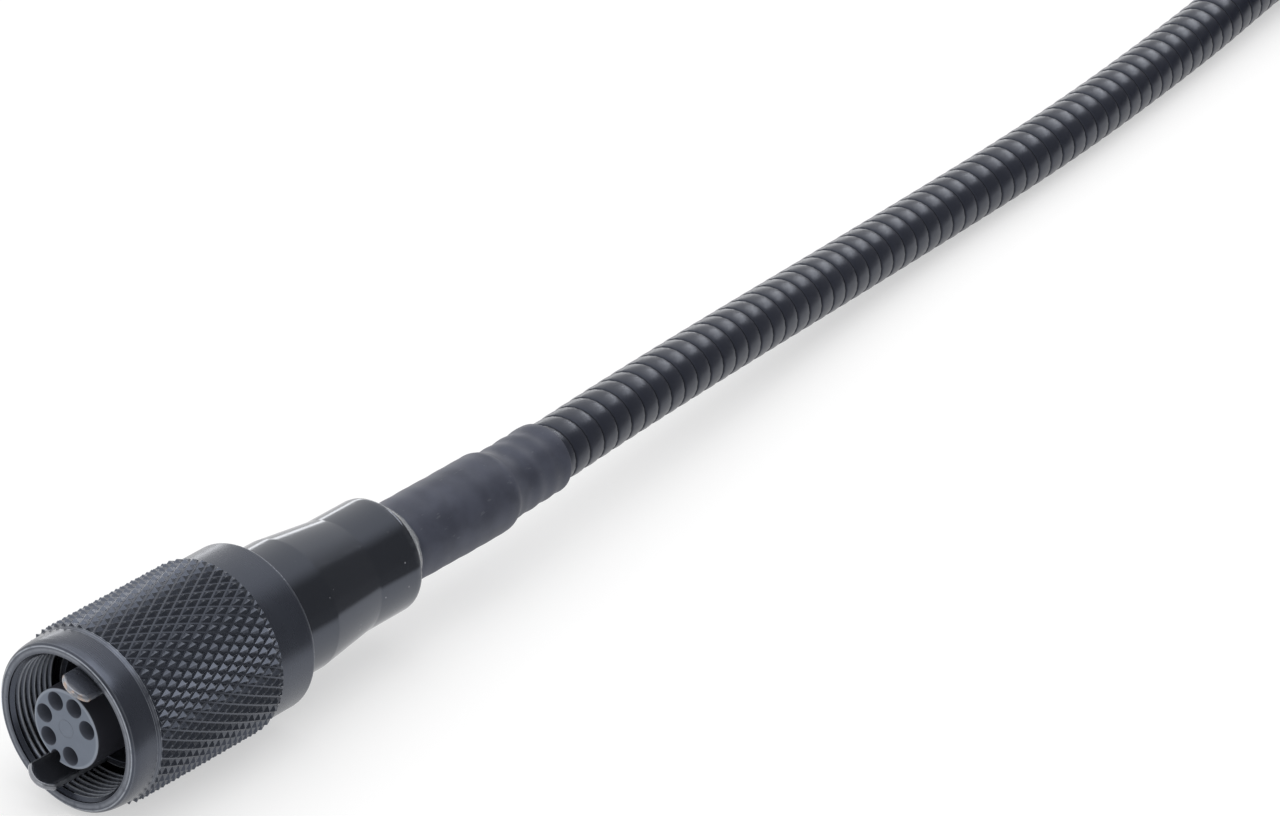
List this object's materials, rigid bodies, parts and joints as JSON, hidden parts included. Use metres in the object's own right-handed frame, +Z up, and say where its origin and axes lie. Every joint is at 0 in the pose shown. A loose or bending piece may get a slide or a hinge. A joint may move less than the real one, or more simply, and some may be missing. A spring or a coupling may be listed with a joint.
{
  "type": "inspection camera probe",
  "caption": "Inspection camera probe: keyed multi-contact plug with a free-spinning knurled coupling nut, shrunk strain relief and a long bendable gooseneck ending in a small lit camera head",
  "frame": {"origin": "the centre of the contact insert's front face", "axes": "+X runs back along the plug's axis towards the gooseneck, so the plug's mouth faces -X; +Z is up as the probe lies on a table; +Y is to the left looking along +X"},
  "size_m": [0.3432, 0.0996, 0.0196],
  "materials": {
    "black_anodised": "satin black anodised",
    "black_plated": "gloss black plated",
    "insert_plastic": "moulded, matt blue-grey",
    "contact_brass": "turned and gold flashed",
    "wire_insulation": "extruded",
    "cable_jacket": "extruded",
    "bare_steel": "turned",
    "shrink_sleeve": "matt heat-shrunk tubing",
    "clear_adhesive": "set hot-melt adhesive",
    "hose_black": "wound, semi-gloss black",
    "tie_fabric": "woven hook-and-loop strap",
    "window_glass": "polished flat",
    "seal_rubber": "moulded",
    "lens_black": "moulded matt",
    "lens_glass": "coated",
    "board_green": "solder mask",
    "led_lens": "moulded resin"
  },
  "bodies": {
    "probe": {"adhesive_bead": "clear_adhesive", "coil_tie": "tie_fabric", "contact_1": "contact_brass", "contact_2": "contact_brass", "contact_3": "contact_brass", "contact_4": "contact_brass", "contact_5": "contact_brass", "contact_6": "contact_brass", "contact_insert": "insert_plastic", "contact_wire_1": "wire_insulation", "contact_wire_2": "wire_insulation", "contact_wire_3": "wire_insulation", "contact_wire_4": "wire_insulation", "contact_wire_5": "wire_insulation", "contact_wire_6": "wire_insulation", "front_lens": "lens_glass", "gooseneck_coil": "hose_black", "gooseneck_run": "hose_black", "head_barrel": "black_anodised", "head_cable": "cable_jacket", "head_ferrule": "black_anodised", "head_window": "window_glass", "heat_shrink_sleeve": "shrink_sleeve", "hose_ferrule": "bare_steel", "led_1": "led_lens", "led_2": "led_lens", "led_3": "led_lens", "led_4": "led_lens", "led_board": "board_green", "lens_barrel": "lens_black", "plug_body": "black_plated", "rear_shell": "black_anodised", "sensor_board": "board_green", "signal_cable": "cable_jacket", "window_seal": "seal_rubber"},
    "coupling_nut": {"coupling_nut": "black_anodised", "nut_retaining_ring": "bare_steel"}
  },
  "joints": [
    {"name": "nut_spin", "type": "hinge", "parent": "probe", "child": "coupling_nut", "pos_m": [0.0128, 0, 0], "axis": [1, 0, 0], "continuous": true}
  ]
}
